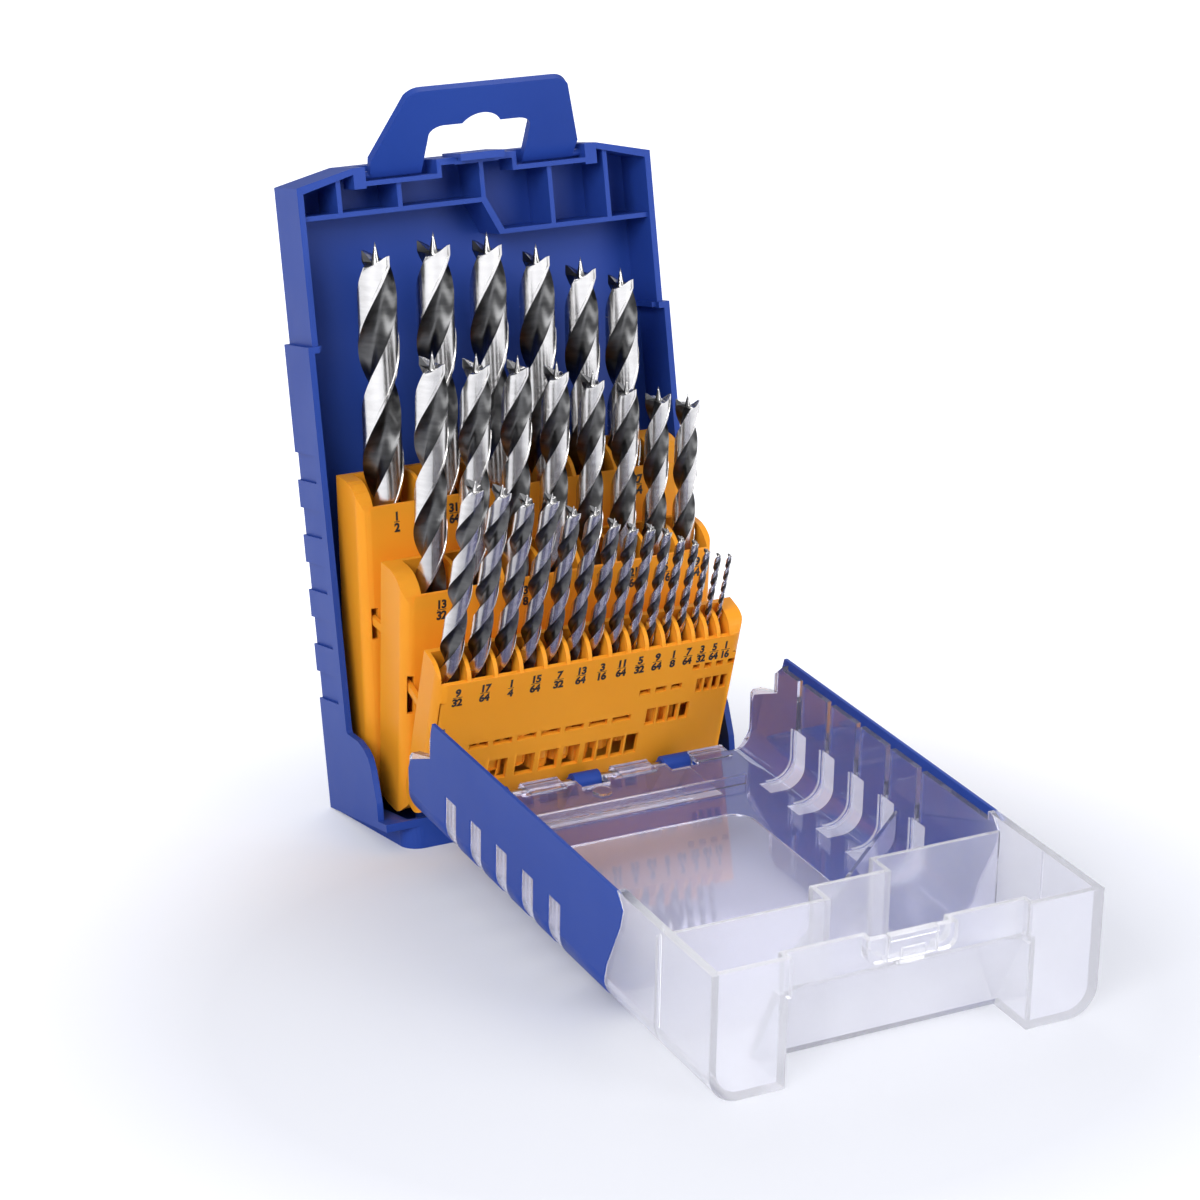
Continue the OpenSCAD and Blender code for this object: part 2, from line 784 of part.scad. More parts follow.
module bit_in(t, row, bits, i) {
    b = bits[i];
    in_tray(t) translate([row_x(row, len(bits), i), 0, bit_floor(b)]) drill_bit(b);
}

module rear_bit(i) { bit_in(rear, rear_row, rear_bits, i); }
module mid_bit(i) { bit_in(mid, mid_row, mid_bits, i); }
module front_bit(i) { bit_in(front, front_row, front_bits, i); }

back_shell();
handle();
rear_tray();
mid_tray();
front_tray();
rear_rod();
mid_rod();
front_rod();
lid_shell();
lid_overlay();
latch_tab();
lid_hinge_pin();
rear_bit(0);  // bit_1_2
rear_bit(1);  // bit_31_64
rear_bit(2);  // bit_15_32
rear_bit(3);  // bit_29_64
rear_bit(4);  // bit_7_16
rear_bit(5);  // bit_27_64
mid_bit(0);  // bit_13_32
mid_bit(1);  // bit_25_64
mid_bit(2);  // bit_3_8
mid_bit(3);  // bit_23_64
mid_bit(4);  // bit_11_32
mid_bit(5);  // bit_21_64
mid_bit(6);  // bit_5_16
mid_bit(7);  // bit_19_64
front_bit(0);  // bit_9_32
front_bit(1);  // bit_17_64
front_bit(2);  // bit_1_4
front_bit(3);  // bit_15_64
front_bit(4);  // bit_7_32
front_bit(5);  // bit_13_64
front_bit(6);  // bit_3_16
front_bit(7);  // bit_11_64
front_bit(8);  // bit_5_32
front_bit(9);  // bit_9_64
front_bit(10);  // bit_1_8
front_bit(11);  // bit_7_64
front_bit(12);  // bit_3_32
front_bit(13);  // bit_5_64
front_bit(14);  // bit_1_16
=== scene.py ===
"""Looks of the drill bit case: materials, rounded edges, bits, size numbers, light and camera."""

import json
import math
from fractions import Fraction

import bmesh
import bpy
from mathutils import Matrix, Vector


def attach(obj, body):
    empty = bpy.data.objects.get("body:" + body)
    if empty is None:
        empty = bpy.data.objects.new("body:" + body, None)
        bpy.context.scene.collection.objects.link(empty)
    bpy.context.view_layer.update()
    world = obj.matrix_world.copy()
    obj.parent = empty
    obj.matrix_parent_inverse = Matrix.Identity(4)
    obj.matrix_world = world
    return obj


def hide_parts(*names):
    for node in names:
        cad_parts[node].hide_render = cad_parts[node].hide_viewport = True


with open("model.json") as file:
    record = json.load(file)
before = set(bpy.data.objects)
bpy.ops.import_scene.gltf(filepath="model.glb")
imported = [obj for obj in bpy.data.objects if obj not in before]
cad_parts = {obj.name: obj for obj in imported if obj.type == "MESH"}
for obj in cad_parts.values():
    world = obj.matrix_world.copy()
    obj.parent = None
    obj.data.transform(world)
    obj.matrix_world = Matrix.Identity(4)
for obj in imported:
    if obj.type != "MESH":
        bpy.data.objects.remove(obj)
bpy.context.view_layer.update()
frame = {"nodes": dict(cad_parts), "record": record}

MM = 0.001
INCH = 25.4
# The foot's drop over its depth, in millimetres, leans the shell back
SHELL_LEAN = math.atan2(7.0, 46.4)
# Edges that turn more than this are sharp: they get rounded and split the shading
SHARP = math.radians(32)
# Vertices this close, in millimetres, are one
WELD = 0.002
# A gap or overlap too small to see, in millimetres
HAIR = 0.02
JOINTS = {j["name"]: j for j in frame["record"]["behaviour"]["joints"]}

# ---- trays and bits ----------------------------------------------------------

# Each tray: its body, which is also its node, hinge, thickness, height of the labels'
# bars and their shift to the right, the row of sockets as (first place, first gap, last
# gap), and the bits as (size in 64ths of an inch, length in inches, height of the tip).
# All heights are above the tray's hinge, in millimetres.
TRAYS = [
    {
        "body": "rear_tray", "joint": "rear_tray_hinge", "thick": 18.0, "label": 86.5, "shift": 0.0,
        "row": (-43.8, 19.2, 13.9),
        "bits": [(32, 6, 172.5), (31, 5.875, 173.5), (30, 5.75, 171.5),
                 (29, 5.625, 166), (28, 5.5, 160), (27, 5.375, 155)],
    },
    {
        "body": "mid_tray", "joint": "mid_tray_hinge", "thick": 17.5, "label": 63.0, "shift": 0.0,
        "row": (-40.5, 14.4, 10.4),
        "bits": [(26, 5.25, 143), (25, 5.125, 140.5), (24, 5, 138), (23, 4.875, 134.5),
                 (22, 4.75, 130), (21, 4.625, 125.5), (20, 4.5, 121.5), (19, 4.375, 118)],
    },
    {
        "body": "front_tray", "joint": "front_tray_hinge", "thick": 12.0, "label": 41.8, "shift": 1.1,
        "row": (-46.0, 9.0, 4.0),
        "bits": [(18, 4.25, 117.5), (17, 4.125, 114.5), (16, 4, 109.5), (15, 3.875, 108.5),
                 (14, 3.75, 102.5), (13, 3.625, 101), (12, 3.5, 95.5), (11, 3.25, 92.5),
                 (10, 3.125, 91), (9, 2.875, 88.5), (8, 2.75, 84.5), (7, 2.625, 82),
                 (6, 2.25, 78), (5, 2, 75.5), (4, 1.875, 74.5)],
    },
]


def row_x(row, count, i):
    """Place of socket i in a row whose gaps shrink evenly from the first to the last."""
    first, wide, narrow = row
    return first + i * wide - (wide - narrow) / (count - 2) * i * (i - 1) / 2


def tray_matrix(tray):
    """Tray frame in millimetres: x right, y back, z up along the tray, zero on its hinge."""
    joint = JOINTS[tray["joint"]]
    lean = math.radians(joint["range_deg"][1]) - SHELL_LEAN
    return Matrix.Translation(joint["pos_m"]) @ Matrix.Rotation(lean, 4, "X") @ Matrix.Scale(MM, 4)


# ---- materials ---------------------------------------------------------------


def greater(tree, a, b):
    """The greater of two sockets."""
    node = tree.nodes.new("ShaderNodeMath")
    node.operation = "MAXIMUM"
    tree.links.new(a, node.inputs[0])
    tree.links.new(b, node.inputs[1])
    return node.outputs[0]


class Nodes:
    """A small helper that adds and links the nodes of one material."""

    def __init__(self, name):
        self.material = bpy.data.materials.new(name)
        self.material.use_nodes = True
        self.tree = self.material.node_tree
        self.shader = self.tree.nodes["Principled BSDF"]
        self.output = self.tree.nodes["Material Output"]

    def add(self, kind, **values):
        node = self.tree.nodes.new(kind)
        for key, value in values.items():
            if key in node.inputs:
                node.inputs[key].default_value = value
            else:
                setattr(node, key, value)
        return node

    def link(self, a, b):
        self.tree.links.new(a, b)

    def set(self, **values):
        for key, value in values.items():
            self.shader.inputs[key.replace("_", " ")].default_value = value

    def coordinates(self):
        return self.add("ShaderNodeTexCoord").outputs["Object"]

    def noise(self, scale, detail=4.0, roughness=0.55):
        node = self.add("ShaderNodeTexNoise", Scale=scale, Detail=detail, Roughness=roughness)
        self.link(self.coordinates(), node.inputs["Vector"])
        return node.outputs["Fac"]

    def ramp(self, fac, stops):
        node = self.add("ShaderNodeValToRGB")
        elements = node.color_ramp.elements
        while len(elements) < len(stops):
            elements.new(0.5)
        for element, (place, colour) in zip(elements, stops):
            element.position = place
            element.color = (*colour, 1.0)
        self.link(fac, node.inputs["Fac"])
        return node.outputs["Color"]

    def range(self, value, low, high, start=0.0, full=1.0):
        """From low where value is start to high where it is full, and no further."""
        node = self.add("ShaderNodeMapRange")
        node.inputs["From Min"].default_value = start
        node.inputs["From Max"].default_value = full
        node.inputs["To Min"].default_value = low
        node.inputs["To Max"].default_value = high
        self.link(value, node.inputs["Value"])
        return node.outputs["Result"]

    def bump(self, height, strength, distance):
        node = self.add("ShaderNodeBump", Strength=strength, Distance=distance)
        self.link(height, node.inputs["Height"])
        self.link(node.outputs["Normal"], self.shader.inputs["Normal"])


# Where the clear lid turns frosted, in metres: towards its far end along Y, and on its
# outer sides, which show in the grip slots
FROST_START = -0.076
FROST_FULL = -0.100
FROST_SIDE = 0.0590
FROST_SIDE_FULL = 0.0593
FROST_COLOUR = (0.94, 0.94, 0.975)
# How dense the clear plastic is for shadows and bounced light
SHADOW_ALPHA = 0.26


def moulded_plastic(name, dark, light, roughness, subsurface):
    """Satin moulded plastic: fine grain, faint flow marks and a soft depth."""
    n = Nodes(name)
    colour = n.ramp(n.noise(14.0, 3.0), [(0.3, dark), (0.7, light)])
    n.link(colour, n.shader.inputs["Base Color"])
    n.link(n.range(n.noise(60.0), roughness - 0.05, roughness + 0.07), n.shader.inputs["Roughness"])
    n.bump(n.noise(1500.0, 2.0), 0.12, 0.00006)
    n.set(Specular_IOR_Level=0.16, Subsurface_Weight=subsurface, Subsurface_Scale=0.0015)
    return n.material


def clear_plastic(name, clear, frosted, tint):
    """Slightly milky clear plastic, polished inside and frosted at the far end and outside.
    clear and frosted are the shares of light that pass, and tint colours the polished part.
    Shadows and bounced light see it as almost clear, so light reaches what lies behind."""
    n = Nodes(name)
    split = n.add("ShaderNodeSeparateXYZ")
    n.link(n.coordinates(), split.inputs[0])
    across = n.add("ShaderNodeMath", operation="ABSOLUTE")
    n.link(split.outputs["X"], across.inputs[0])
    far_end = n.range(split.outputs["Y"], 0.0, 1.0, FROST_START, FROST_FULL)
    outside = n.range(across.outputs[0], 0.0, 1.0, FROST_SIDE, FROST_SIDE_FULL)
    frost = greater(n.tree, far_end, outside)
    cloud = n.add("ShaderNodeMath", operation="MULTIPLY_ADD")
    n.link(n.noise(25.0, 3.0), cloud.inputs[0])
    cloud.inputs[1].default_value = 0.2
    n.link(n.range(frost, 0.0, 0.8), cloud.inputs[2])
    colour = n.ramp(cloud.outputs[0], [(0.05, tint), (0.95, FROST_COLOUR)])
    n.link(colour, n.shader.inputs["Base Color"])
    path = n.add("ShaderNodeLightPath")
    light = greater(n.tree, path.outputs["Is Shadow Ray"], path.outputs["Is Diffuse Ray"])
    n.link(n.range(light, 1.0, SHADOW_ALPHA), n.shader.inputs["Alpha"])
    n.link(n.range(frost, clear, frosted), n.shader.inputs["Transmission Weight"])
    n.link(n.range(frost, 0.04, 0.20), n.shader.inputs["Roughness"])
    n.bump(n.noise(120.0, 1.0), 0.03, 0.00006)
    n.set(IOR=1.52)
    return n.material


def ground_steel(name, dark, light, roughness, scratch):
    """Ground steel: fine marks across the tool, with a little colour variation. scratch is
    the strength of the marks' relief."""
    n = Nodes(name)
    stretch = n.add("ShaderNodeMapping")
    stretch.inputs["Scale"].default_value = (1.0, 1.0, 4.0)
    n.link(n.coordinates(), stretch.inputs["Vector"])
    marks = n.add("ShaderNodeTexNoise", Scale=160.0, Detail=5.0)
    n.link(stretch.outputs["Vector"], marks.inputs["Vector"])
    colour = n.ramp(marks.outputs["Fac"], [(0.3, dark), (0.75, light)])
    n.link(colour, n.shader.inputs["Base Color"])
    n.link(n.range(marks.outputs["Fac"], roughness - 0.06, roughness + 0.1), n.shader.inputs["Roughness"])
    n.bump(marks.outputs["Fac"], scratch, 0.00004)
    n.set(Metallic=1.0)
    return n.material


def printed_ink(name):
    """Black print, a little uneven."""
    n = Nodes(name)
    colour = n.ramp(n.noise(300.0), [(0.35, (0.012, 0.011, 0.012)), (0.75, (0.03, 0.028, 0.03))])
    n.link(colour, n.shader.inputs["Base Color"])
    n.set(Roughness=0.55)
    return n.material


BLUE = moulded_plastic("blue_plastic", (0.019, 0.058, 0.325), (0.025, 0.070, 0.360), 0.42, 0.0)
ORANGE = moulded_plastic("orange_plastic", (0.94, 0.345, 0.020), (0.98, 0.385, 0.028), 0.38, 0.08)
CLEAR = clear_plastic("clear_plastic", 0.93, 0.78, (0.76, 0.76, 0.93))
# Milkier, whiter plastic on the clear parts' rounded edges: painted highlight lines.
CLEAR_EDGE_HIGHLIGHT = clear_plastic("clear_edge_painted_highlight", 0.35, 0.2, (0.88, 0.88, 0.97))
STEEL = ground_steel("steel", (0.50, 0.50, 0.52), (0.66, 0.66, 0.68), 0.28, 0.1)
LAND = ground_steel("bit_land", (0.57, 0.56, 0.55), (0.70, 0.69, 0.68), 0.22, 0.02)
# The flutes' near-black steel is a painted reflection of dark surroundings.
FLUTE = ground_steel("bit_flute_painted_reflection", (0.080, 0.080, 0.082), (0.130, 0.130, 0.130), 0.31, 0.02)
INK = printed_ink("ink")

# ---- CAD nodes: finish and rounded edges -------------------------------------


def round_edges(piece, edge_mm, segments=3, edge_slot=-1):
    """Rounds the edges with a modifier. The rounded strips take the material edge_slot."""
    bevel = piece.modifiers.new("rounded_edges", "BEVEL")
    bevel.width = edge_mm * MM
    bevel.segments = segments
    bevel.limit_method = "ANGLE"
    bevel.angle_limit = SHARP
    bevel.harden_normals = True
    bevel.miter_outer = "MITER_ARC"
    bevel.material = edge_slot


def dress(node, material, edge_mm, segments=3, edge_material=None):
    """Gives a CAD node its finish and rounds its edges, without touching its mesh."""
    piece = frame["nodes"][node]
    piece.data.materials.clear()
    piece.data.materials.append(material)
    weld = piece.modifiers.new("weld", "WELD")
    weld.merge_threshold = WELD * MM
    edge_slot = -1
    if edge_material:
        piece.data.materials.append(edge_material)
        edge_slot = 1
    round_edges(piece, edge_mm, segments, edge_slot)


dress("back_shell", BLUE, 0.45)
dress("lid_overlay", BLUE, 0.25, 2)
# The coloured skin draws back a little, so that its faces don't coincide with the clear ones
sunk = frame["nodes"]["lid_overlay"].modifiers.new("thin_air_gap", "DISPLACE")
sunk.mid_level = 0.0
sunk.strength = -0.03 * MM
# The latch's rounded edges take the milkier plastic, a painted highlight.
dress("latch_tab", CLEAR, 0.3, 2, CLEAR_EDGE_HIGHLIGHT)
for rod_node in ("rear_rod", "mid_rod", "front_rod", "lid_hinge_pin"):
    dress(rod_node, STEEL, 0.2, 2)

# ---- pieces that start as a copy of their node ------------------------------


def body_of(node):
    """The body that carries a CAD node."""
    return next(name for name, nodes in frame["record"]["behaviour"]["bodies"].items() if node in nodes)


def add_piece(name, mesh, matrix, body):
    """A new piece of the object. matrix takes its mesh from millimetres into the shared frame."""
    piece = bpy.data.objects.new(name, mesh)
    bpy.context.scene.collection.objects.link(piece)
    mesh.transform(matrix)
    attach(piece, body)
    return piece


def cut(piece, operation, cutter):
    """Adds a boolean, which baked() applies."""
    modifier = piece.modifiers.new(cutter.name, "BOOLEAN")
    modifier.operation = operation
    modifier.object = cutter


def solid(name, verts, faces):
    """A closed helper body in the scene, for cutting."""
    mesh = bpy.data.meshes.new(name)
    mesh.from_pydata(verts, [], faces)
    piece = bpy.data.objects.new(name, mesh)
    bpy.context.scene.collection.objects.link(piece)
    return piece


def prism(name, plan, low, high):
    """An upright body over a plan outline (x, y), which turns to the left."""
    n = len(plan)
    verts = [(x, y, z) for z in (low, high) for x, y in plan]
    faces = [(i, (i + 1) % n, n + (i + 1) % n, n + i) for i in range(n)]
    return solid(name, verts, faces + [tuple(reversed(range(n))), tuple(range(n, 2 * n))])


def blocks(name, boxes):
    """Separate blocks as one helper body, from (x0, x1, y0, y1, z0, z1) each."""
    verts = []
    faces = []
    for x0, x1, y0, y1, z0, z1 in boxes:
        n = len(verts)
        verts += [(x, y, z) for z in (z0, z1) for x, y in ((x0, y0), (x1, y0), (x1, y1), (x0, y1))]
        faces += [(n + i, n + (i + 1) % 4, n + 4 + (i + 1) % 4, n + 4 + i) for i in range(4)]
        faces += [(n + 3, n + 2, n + 1, n), (n + 4, n + 5, n + 6, n + 7)]
    return solid(name, verts, faces)


def baked(holder, helpers=()):
    """The holder's mesh with its modifiers applied. Holder and helpers are removed."""
    bpy.context.view_layer.update()
    depsgraph = bpy.context.evaluated_depsgraph_get()
    mesh = bpy.data.meshes.new_from_object(holder.evaluated_get(depsgraph))
    for piece in (holder, *helpers):
        bpy.data.objects.remove(piece)
    return mesh


def copy_of(node, matrix, *materials):
    """A copy of a node's mesh in the frame given by matrix, in millimetres, in the scene."""
    mesh = frame["nodes"][node].data.copy()
    mesh.materials.clear()
    for material in materials:
        mesh.materials.append(material)
    mesh.transform(matrix.inverted())
    holder = bpy.data.objects.new(node + "_copy", mesh)
    bpy.context.scene.collection.objects.link(holder)
    weld = holder.modifiers.new("weld", "WELD")
    weld.merge_threshold = WELD
    return holder


def finish_piece(name, mesh, matrix, node, edge_mm, segments=2, edge_slot=-1):
    """The piece that stands for a node from now on."""
    for polygon in mesh.polygons:
        polygon.use_smooth = True
    mesh.set_sharp_from_angle(angle=SHARP)
    piece = add_piece(name, mesh, matrix, body_of(node))
    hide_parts(node)
    round_edges(piece, edge_mm, segments, edge_slot)
    # Large faces decide the shading, so that they mirror as flat
    even = piece.modifiers.new("flat_faces_stay_flat", "WEIGHTED_NORMAL")
    even.keep_sharp = True
    even.weight = 80


# Radius of the trays' upright corners, how much lower the front tray's top is in the
# photograph than in the frame, and the thickness of its front wall
CORNER_R = 4.0
CORNER_STEPS = 8
TOP_DROP = 2.7
WALL = 1.6

# The front tray's windows as (left, right, bottom, top), its rows of slits as
# (left, pitch, count, bottom, width), the slits' height, and the part of the wall
# that is swapped for one with openings, again as (left, right, bottom, top)
WINDOWS = [(left, left + wide, 6.5, 14.3) for left, wide in
           ((-40.4, 6.4), (-31, 6.4), (-21.7, 6.3), (-13.6, 6.3), (-5.6, 5.6),
            (1.7, 4.0), (6.4, 4.2), (11.3, 4.1), (16.1, 4.2))]
WINDOWS += [(21.8 + 3.9 * i, 25.0 + 3.9 * i, 16.8, 23.3) for i in range(4)]
WINDOWS += [(37.9 + 2.8 * i, 40.1 + 2.8 * i, 26.5, 31.8) for i in range(4)]
SLIT_ROWS = [(-38.6, 8.1, 7, 20.3, 6.4), (18.0, 5.5, 3, 29.3, 3.8), (35.5, 4.1, 4, 35.6, 2.4)]
SLIT = 2.1
PANEL = (-50.2, 50.2, 2.0, 40.2)


def rounded_plan(half, front):
    """Plan of a tray with round front corners, a hair outside its straight walls."""
    plan = [(half + HAIR, 40.0), (-half - HAIR, 40.0)]
    for side, start in ((-1, 180), (1, 270)):
        for k in range(CORNER_STEPS + 1):
            a = math.radians(start + 90 * k / CORNER_STEPS)
            plan.append((side * (half - CORNER_R) + (CORNER_R + HAIR) * math.cos(a),
                         front + CORNER_R + (CORNER_R + HAIR) * math.sin(a)))
    return plan


def window_wall(mesh, front):
    """Swaps the front wall for one with the windows and slits, on a grid of their edges."""
    holes = list(WINDOWS)
    for left, pitch, count, low, wide in SLIT_ROWS:
        holes += [(left + pitch * i, left + pitch * i + wide, low, low + SLIT) for i in range(count)]
    left, right, bottom, top = PANEL
    xs = sorted({left, right} | {x for h in holes for x in h[:2]})
    zs = sorted({bottom, top} | {z for h in holes for z in h[2:]})
    bm = bmesh.new()
    bm.from_mesh(mesh)
    behind = front + WALL + 0.1
    for place, normal in (((left, 0, 0), (1, 0, 0)), ((right, 0, 0), (1, 0, 0)),
                          ((0, 0, bottom), (0, 0, 1)), ((0, 0, top), (0, 0, 1))):
        wall = [f for f in bm.faces if all(v.co.y < behind for v in f.verts)]
        parts = list(wall)
        parts += dict.fromkeys(e for f in wall for e in f.edges)
        parts += dict.fromkeys(v for f in wall for v in f.verts)
        bmesh.ops.bisect_plane(bm, geom=parts, plane_co=place, plane_no=normal)
    old = [f for f in bm.faces if all(v.co.y < behind for v in f.verts)
           and left < f.calc_center_median().x < right and bottom < f.calc_center_median().z < top]
    bmesh.ops.delete(bm, geom=old, context="FACES")

    corners = {}

    def quad(*points):
        for point in points:
            if point not in corners:
                corners[point] = bm.verts.new(point)
        bm.faces.new([corners[point] for point in points])

    def open_at(x, z):
        return any(h[0] < x < h[1] and h[2] < z < h[3] for h in holes)

    back = front + WALL
    cells = [(x0, x1, z0, z1) for x0, x1 in zip(xs, xs[1:]) for z0, z1 in zip(zs, zs[1:])]
    for x0, x1, z0, z1 in cells:
        x = (x0 + x1) / 2
        z = (z0 + z1) / 2
        if not open_at(x, z):
            quad((x0, front, z0), (x1, front, z0), (x1, front, z1), (x0, front, z1))
            quad((x0, back, z1), (x1, back, z1), (x1, back, z0), (x0, back, z0))
            continue
        if not open_at(x0 - HAIR, z):
            quad((x0, front, z0), (x0, front, z1), (x0, back, z1), (x0, back, z0))
        if not open_at(x1 + HAIR, z):
            quad((x1, front, z1), (x1, front, z0), (x1, back, z0), (x1, back, z1))
        if not open_at(x, z0 - HAIR):
            quad((x1, front, z0), (x0, front, z0), (x0, back, z0), (x1, back, z0))
        if not open_at(x, z1 + HAIR):
            quad((x0, front, z1), (x1, front, z1), (x1, back, z1), (x0, back, z1))
    bm.to_mesh(mesh)
    bm.free()


def add_tray(tray):
    """A tray with round corners. The front one also gets its windows."""
    node = tray["body"]
    place = tray_matrix(tray)
    holder = copy_of(node, place, ORANGE)
    front = -tray["thick"] / 2
    half = max(v.co.x for v in holder.data.vertices)
    if node == "front_tray":
        for v in holder.data.vertices:
            if v.co.z > PANEL[3]:
                v.co.z -= TOP_DROP
    # The prism reaches past the tray's bottom and top, and only rounds its corners
    corners = prism("corners", rounded_plan(half, front), -30, 130)
    cut(holder, "INTERSECT", corners)
    mesh = baked(holder, [corners])
    if node == "front_tray":
        window_wall(mesh, front)
    finish_piece(node + "_body", mesh, place, node, 0.4)


# Half width of the handle's finger opening and of its hanging notch, each in the frame
# and in the photograph, and how much higher the opening is in the photograph. Points
# over OPENING_TOP rise, and those over OPENING_END belong to the handle's outline.
OPENING = (14.0, 17.3)
NOTCH = (6.06, 6.4)
OPENING_TOP = 10.4
OPENING_RISE = 3.2
OPENING_END = 18.0


def add_handle():
    """The folding handle, with the wide finger opening of the photograph."""
    joint = JOINTS["handle_hinge"]
    lean = math.radians(-joint["range_deg"][0]) - SHELL_LEAN
    place = Matrix.Translation(joint["pos_m"]) @ Matrix.Rotation(lean, 4, "X") @ Matrix.Scale(MM, 4)
    holder = copy_of("handle", place, BLUE)
    for v in holder.data.vertices:
        across = abs(v.co.x)
        if across > OPENING[0] + HAIR or v.co.z > OPENING_END:
            continue
        if across <= NOTCH[0]:
            wide = across * NOTCH[1] / NOTCH[0]
        else:
            share = (across - NOTCH[0]) / (OPENING[0] - NOTCH[0])
            wide = NOTCH[1] + share * (OPENING[1] - NOTCH[1])
        v.co.x = math.copysign(wide, v.co.x)
        if v.co.z > OPENING_TOP:
            v.co.z += OPENING_RISE
    finish_piece("handle_grip", baked(holder), place, "handle", 0.7, 3)


# ---- the clear lid: gaps, panels, slot edges and ribs -----------------------

# In the lid's frame, in millimetres: y = 23 on the hinge axis, z = 0 under the floor.
# LID_REACH is from the hinge axis to the far end of the lid, which lies on the table.
LID_HINGE_Y = 23.0
LID_REACH = 191.65
# The side walls' inner and outer faces, the floor's face and the corner between them
LID_INNER = 56.87
LID_OUTER = 59.55
LID_FLOOR = 2.0
LID_CORNER = 6.8
# A height over every rim of the lid
OVER_RIMS = 46.0
# The grip slots along Y, and where their raised edges end on the floor
SLOT_FIRST = -5.1
SLOT_PITCH = 17.37
SLOT_WIDE = 7.4
SLOT_MIDDLES = [SLOT_FIRST - SLOT_WIDE / 2 - SLOT_PITCH * i for i in range(5)]
SLOT_FLOOR_END = 48.2
# The two raised edges of a slot, by how far they start inside its edge, with their width
SLOT_EDGES = (0.5, 3.0)
SLOT_EDGE_WIDE = 0.7
SLOT_EDGE_PROUD = 0.4
# The gaps over the slots, and the panels between them
GAP = 2.8
PANEL_LOW = 18.6
PANEL_HIGH = 34.8
PANEL_START = 1.6
PANEL_END = -115.0
# The upright rib outside each side wall, near the far end
RIB_Y = (-141.6, -140.6)
RIB_HEIGHTS = (9.5, 36.6)
RIB_PROUD = 0.25


def lid_matrix():
    """Lid frame in millimetres."""
    hinge = Vector(JOINTS["lid_hinge"]["pos_m"])
    tilt = math.asin(hinge.z / MM / LID_REACH)
    return (Matrix.Translation(hinge) @ Matrix.Rotation(tilt, 4, "X") @ Matrix.Scale(MM, 4)
            @ Matrix.Translation((0, -LID_HINGE_Y, 0)))


def band(bm, side, path, y0, y1, proud):
    """A low raised band on a wall of the lid. path lists its points as (x, z) with the
    wall's normal, and y0 and y1 are the band's edges."""
    rings = []
    for (x, z), (nx, nz) in path:
        low = (side * x, z)
        high = (side * (x + nx * proud), z + nz * proud)
        rings.append([bm.verts.new(c) for c in ((low[0], y0, low[1]), (low[0], y1, low[1]),
                                                (high[0], y1, high[1]), (high[0], y0, high[1]))])
    for a, b in zip(rings, rings[1:]):
        for k in range(4):
            bm.faces.new((a[k], a[(k + 1) % 4], b[(k + 1) % 4], b[k]))
    bm.faces.new(rings[0])
    bm.faces.new(rings[-1])


def slot_path():
    """From the panels' lower edge down the wall, round the corner and onto the floor."""
    centre = (LID_INNER - LID_CORNER, LID_FLOOR + LID_CORNER)
    path = [((LID_INNER - HAIR, PANEL_LOW - 0.4), (-1, 0))]
    reach = LID_CORNER - HAIR
    for k in range(CORNER_STEPS + 1):
        a = math.radians(-90 * k / CORNER_STEPS)
        path.append(((centre[0] + reach * math.cos(a), centre[1] + reach * math.sin(a)),
                     (-math.cos(a), -math.sin(a))))
    path.append(((SLOT_FLOOR_END, LID_FLOOR + HAIR), (0, 1)))
    return path


def add_lid_shell():
    """The clear moulding. Its walls end below the coloured rims, and narrow gaps over the
    grip slots part them into panels."""
    place = lid_matrix()
    holder = copy_of("lid_shell", place, CLEAR, CLEAR_EDGE_HIGHLIGHT)
    sides = [(-LID_INNER - 2.3, -LID_INNER + 1), (LID_INNER - 1, LID_INNER + 2.3)]
    gaps = blocks("gaps", [(x0, x1, y - GAP / 2, y + GAP / 2, PANEL_LOW, OVER_RIMS - 1)
                           for x0, x1 in sides for y in SLOT_MIDDLES])
    tops = blocks("tops", [(x0, x1, PANEL_END, PANEL_START, PANEL_HIGH, OVER_RIMS)
                           for x0, x1 in sides])
    cut(holder, "DIFFERENCE", gaps)
    cut(holder, "DIFFERENCE", tops)
    mesh = baked(holder, [gaps, tops])
    # The rounded edges take the milkier plastic, a painted highlight.
    finish_piece("lid_moulding", mesh, place, "lid_shell", 0.35, 2, 1)


def add_lid_relief():
    """Raised edges beside the grip slots and a rib on each side."""
    bm = bmesh.new()
    rib = [((LID_OUTER + HAIR, h), (1, 0)) for h in RIB_HEIGHTS]
    for side in (-1, 1):
        for middle in SLOT_MIDDLES:
            for inset in SLOT_EDGES:
                start = middle + SLOT_WIDE / 2 - inset
                band(bm, side, slot_path(), start, start + SLOT_EDGE_WIDE, SLOT_EDGE_PROUD)
        band(bm, side, rib, *RIB_Y, RIB_PROUD)
    bmesh.ops.recalc_face_normals(bm, faces=bm.faces)
    mesh = bpy.data.meshes.new("lid_relief")
    bm.to_mesh(mesh)
    bm.free()
    mesh.materials.append(CLEAR)
    mesh.materials.append(CLEAR_EDGE_HIGHLIGHT)
    piece = add_piece("lid_relief", mesh, lid_matrix(), body_of("lid_shell"))
    # The bands' rounded edges take the milkier plastic, painted highlight lines.
    round_edges(piece, 0.12, 2, 1)


# ---- bits --------------------------------------------------------------------

# Lengths here are shares of a bit's radius, and angles are in degrees.
# Half a land, its margin at full radius and how far the rest lies under it
LAND_HALF = 40.0
MARGIN = 8.0
CLEARANCE = 0.045
# The core that the flutes leave, and the two powers that shape their scoop
CORE = 0.40
SCOOP_LEAN = 0.8
SCOOP_FULL = 0.72
# The length of one turn in diameters, and the angle of the lands at the shoulder
PITCH = 5.75
TIP_PHASE = 256.0
